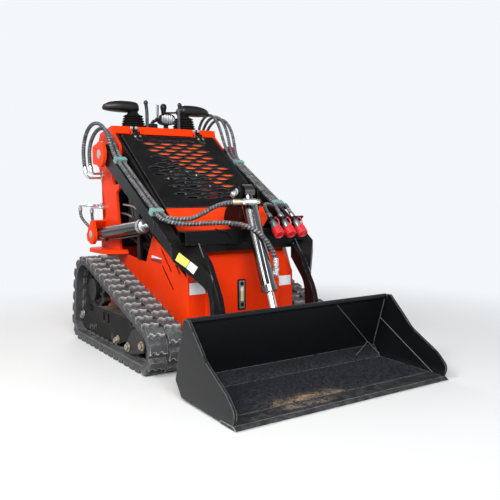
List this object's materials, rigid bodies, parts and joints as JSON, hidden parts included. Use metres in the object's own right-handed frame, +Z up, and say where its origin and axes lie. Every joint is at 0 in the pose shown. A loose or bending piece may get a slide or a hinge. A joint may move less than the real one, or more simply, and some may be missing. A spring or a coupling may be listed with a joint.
{
  "type": "compact track loader",
  "caption": "Stand-on compact track loader with rubber tracks, lift arms, a tilting bucket, a hinged perforated hood and a folding rider platform.",
  "frame": {"origin": "on the ground under the middle of the machine's length and width, with the bucket lowered", "axes": "+Z up, -Y the way the machine faces, +X its left-hand side"},
  "size_m": [1.1, 2.255, 1.3995],
  "materials": {
    "orange_paint": "satin",
    "black_paint": "satin",
    "dark_steel": "dusty",
    "gloss_black": "gloss",
    "chrome_rod": "polished",
    "zinc": "satin",
    "track_rubber": "dusty",
    "soft_rubber": "matte",
    "hose_rubber": "matte",
    "clamp_teal": "matte",
    "worn_steel": "worn"
  },
  "bodies": {
    "chassis": {"console_top": "orange_paint", "control_boots": "soft_rubber", "cowl": "orange_paint", "engine": "black_paint", "fenders": "orange_paint", "front_panel": "orange_paint", "grab_bars": "black_paint", "hand_rests": "soft_rubber", "hood_rails": "black_paint", "hose_pipes_left": "zinc", "hose_pipes_right": "zinc", "lever_block": "black_paint", "lift_hoses_left": "hose_rubber", "lift_hoses_right": "hose_rubber", "platform_brackets": "black_paint", "post_left": "orange_paint", "post_right": "orange_paint", "rear_cover": "orange_paint", "rear_wall": "orange_paint", "sprocket_left": "dark_steel", "sprocket_right": "dark_steel", "thigh_pad": "soft_rubber", "track_belt_left": "track_rubber", "track_belt_right": "track_rubber", "track_frame_left": "dark_steel", "track_frame_right": "dark_steel", "track_wheels_left": "dark_steel", "track_wheels_right": "dark_steel", "tub_floor": "black_paint", "tub_sides": "orange_paint", "valve_block": "zinc", "work_lamp": "black_paint"},
    "hood": {"hood": "black_paint"},
    "platform": {"platform": "black_paint"},
    "lift_barrel_left": {"lift_barrel_left": "gloss_black"},
    "lift_barrel_right": {"lift_barrel_right": "gloss_black"},
    "lift_rod_left": {"lift_rod_left": "chrome_rod"},
    "lift_rod_right": {"lift_rod_right": "chrome_rod"},
    "tilt_barrel": {"tilt_barrel": "gloss_black"},
    "tilt_rod": {"tilt_rod": "chrome_rod"},
    "bucket": {"bucket_shell": "black_paint", "cutting_edge": "worn_steel", "attach_plate": "black_paint"},
    "arms": {"arm_beam_left": "black_paint", "arm_beam_right": "black_paint", "coupler_bracket": "black_paint", "coupler_hoses": "hose_rubber", "couplers": "zinc", "cross_tube": "black_paint", "elbow_left": "black_paint", "elbow_right": "black_paint", "hose_clamps": "clamp_teal", "leg_left": "black_paint", "leg_right": "black_paint", "pivot_hoses_left": "hose_rubber", "pivot_hoses_right": "hose_rubber", "tilt_bracket": "black_paint", "tilt_hoses": "hose_rubber"}
  },
  "joints": [
    {"name": "arms_lift", "type": "hinge", "parent": "chassis", "child": "arms", "pos_m": [0, 0.5155, 1.063], "axis": [-1, 0, 0], "range_deg": [0, 60], "deforming": ["pivot_hoses_left", "pivot_hoses_right"]},
    {"name": "bucket_tilt", "type": "hinge", "parent": "arms", "child": "bucket", "pos_m": [0, -0.5365, 0.118], "axis": [-1, 0, 0], "range_deg": [-95, 22]},
    {"name": "hood_open", "type": "hinge", "parent": "chassis", "child": "hood", "pos_m": [0, 0.52324, 1.19277], "axis": [-1, 0, 0], "range_deg": [0, 55]},
    {"name": "platform_fold", "type": "hinge", "parent": "chassis", "child": "platform", "pos_m": [0, 0.8275, 0.19], "axis": [1, 0, 0], "range_deg": [0, 80]},
    {"name": "tilt_barrel_swing", "type": "hinge", "parent": "arms", "child": "tilt_barrel", "pos_m": [0, -0.3445, 0.84], "axis": [-1, 0, 0], "range_deg": [-6, 6], "deforming": ["tilt_hoses"]},
    {"name": "lift_barrel_swing_left", "type": "hinge", "parent": "chassis", "child": "lift_barrel_left", "pos_m": [0.375, 0.6975, 0.606], "axis": [-1, 0, 0], "range_deg": [0, 40.2]},
    {"name": "lift_rod_slide_left", "type": "slide", "parent": "lift_barrel_left", "child": "lift_rod_left", "axis": [0, -0.9948, 0.1017], "range_m": [0, 0.3443]},
    {"name": "lift_barrel_swing_right", "type": "hinge", "parent": "chassis", "child": "lift_barrel_right", "pos_m": [-0.375, 0.6975, 0.606], "axis": [-1, 0, 0], "range_deg": [0, 40.2]},
    {"name": "lift_rod_slide_right", "type": "slide", "parent": "lift_barrel_right", "child": "lift_rod_right", "axis": [0, -0.9948, 0.1017], "range_m": [0, 0.3443]},
    {"name": "tilt_rod_slide", "type": "slide", "parent": "tilt_barrel", "child": "tilt_rod", "axis": [0, -0.3826, -0.9239], "range_m": [-0.0403, 0.1674]}
  ],
  "couplings": [
    {"joint": "lift_barrel_swing_left", "follows": "arms_lift", "ratio": 0.6526},
    {"joint": "lift_barrel_swing_right", "follows": "arms_lift", "ratio": 0.6526},
    {"joint": "lift_rod_slide_left", "follows": "arms_lift", "m_per_rad": 0.32496},
    {"joint": "lift_rod_slide_right", "follows": "arms_lift", "m_per_rad": 0.32496},
    {"joint": "tilt_barrel_swing", "follows": "bucket_tilt", "ratio": 0.01907},
    {"joint": "tilt_rod_slide", "follows": "bucket_tilt", "m_per_rad": -0.09975}
  ]
}
